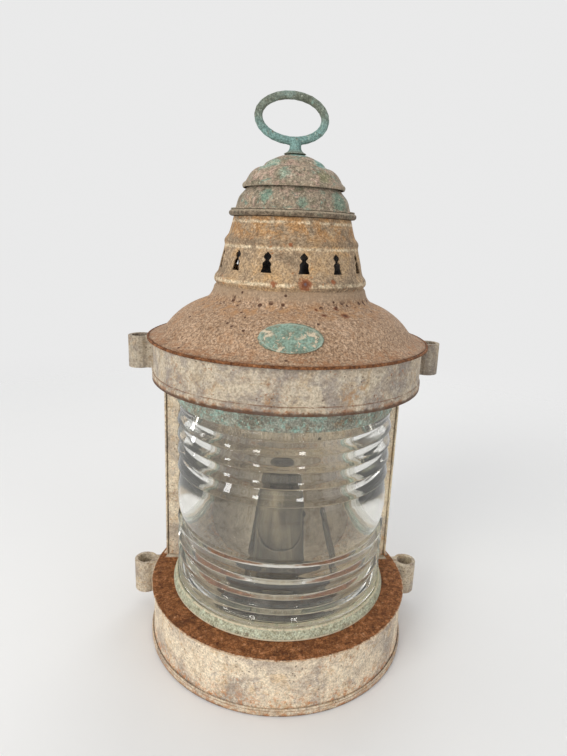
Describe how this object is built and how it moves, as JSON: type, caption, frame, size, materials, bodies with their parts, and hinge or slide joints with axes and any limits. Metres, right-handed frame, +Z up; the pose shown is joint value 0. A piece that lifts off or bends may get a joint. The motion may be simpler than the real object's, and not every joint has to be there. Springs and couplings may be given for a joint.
{
  "type": "masthead lantern",
  "caption": "Free-standing masthead lantern with a stepped lens, a hinged rear door, a lift-out oil font with a wick knob, side guide eyes and a hoisting ring on a vented hood.",
  "frame": {"origin": "centre of the base underside", "axes": "+Z up along the lantern axis to the hoisting ring; the lens faces -Y; +X is the right-hand side seen from the front"},
  "size_m": [0.236, 0.2, 0.3987],
  "materials": {
    "galvanised_sheet": "weathered zinc coat, flaking, with rust specks",
    "rusted_sheet": "deep orange-brown rust, grainy",
    "tan_rusted_sheet": "even tan rust with fine speckle",
    "verdigris_copper": "copper under pale blue-green verdigris",
    "brown_copper": "brown copper with verdigris",
    "dark_bronze": "dark dull bronze",
    "lens_glass": "clear pressed glass",
    "tinned_font": "dull tinned sheet",
    "aged_brass": "aged brass",
    "steel_fittings": "dull steel",
    "wick_cotton": "woven cotton"
  },
  "bodies": {
    "root": {"base_pan": "galvanised_sheet", "base_wall": "galvanised_sheet", "font_seat": "galvanised_sheet", "lens_cheek_left": "galvanised_sheet", "lens_cheek_right": "galvanised_sheet", "back_shell": "galvanised_sheet", "soffit_plate": "galvanised_sheet", "hood_skirt": "galvanised_sheet", "inner_flue": "galvanised_sheet", "flue_bracket_1": "galvanised_sheet", "flue_bracket_2": "galvanised_sheet", "flue_bracket_3": "galvanised_sheet", "guide_lug_upper_left": "galvanised_sheet", "guide_lug_upper_right": "galvanised_sheet", "guide_lug_lower_left": "galvanised_sheet", "guide_lug_lower_right": "galvanised_sheet", "hinge_shell_leaf_1": "galvanised_sheet", "hinge_shell_leaf_2": "galvanised_sheet", "base_shelf": "rusted_sheet", "dome_wired_edge": "rusted_sheet", "dome": "tan_rusted_sheet", "chimney": "tan_rusted_sheet", "lens_foot_ring": "verdigris_copper", "lens_top_collar": "verdigris_copper", "lens_channel_left": "verdigris_copper", "lens_channel_right": "verdigris_copper", "hoisting_ring": "verdigris_copper", "badge": "verdigris_copper", "crown": "brown_copper", "cap": "brown_copper", "cap_leg_1": "brown_copper", "cap_leg_2": "brown_copper", "cap_leg_3": "brown_copper", "crown_bead": "dark_bronze", "fresnel_lens": "lens_glass", "hinge_pin_1": "steel_fittings", "hinge_pin_2": "steel_fittings", "door_catch": "steel_fittings", "door_catch_rivet_1": "steel_fittings", "door_catch_rivet_2": "steel_fittings", "ring_washer": "steel_fittings", "ring_nut": "steel_fittings"},
    "door": {"back_door": "galvanised_sheet", "hinge_door_leaf_1": "galvanised_sheet", "hinge_door_leaf_2": "galvanised_sheet", "door_knob": "aged_brass", "door_knob_rivet": "aged_brass"},
    "font": {"oil_font": "tinned_font", "font_collar": "aged_brass", "burner_base": "aged_brass", "burner_cone": "aged_brass", "wick_tube": "aged_brass", "filler_neck": "aged_brass"},
    "filler_cap": {"filler_cap": "aged_brass"},
    "wick": {"wick": "wick_cotton"},
    "wick_key": {"wick_spindle": "aged_brass", "wick_knob": "aged_brass"}
  },
  "joints": [
    {"name": "door_hinge", "type": "hinge", "parent": "root", "child": "door", "pos_m": [-0.05247, 0.08206, 0.126], "axis": [0, 0, 1], "range_deg": [0, 120]},
    {"name": "font_lift", "type": "slide", "parent": "root", "child": "font", "axis": [0, 0, 1], "range_m": [0, 0.045]},
    {"name": "filler_cap_lift", "type": "slide", "parent": "font", "child": "filler_cap", "axis": [0, 0, 1], "range_m": [0, 0.008]},
    {"name": "wick_turn", "type": "hinge", "parent": "font", "child": "wick_key", "pos_m": [0.02, -0.0047, 0.0752], "axis": [1, 0, 0], "range_deg": [0, 200]},
    {"name": "wick_rise", "type": "slide", "parent": "font", "child": "wick", "axis": [0, 0, 1], "range_m": [0, 0.012]}
  ],
  "couplings": [
    {"joint": "wick_rise", "follows": "wick_turn", "m_per_rad": 0.003437}
  ]
}
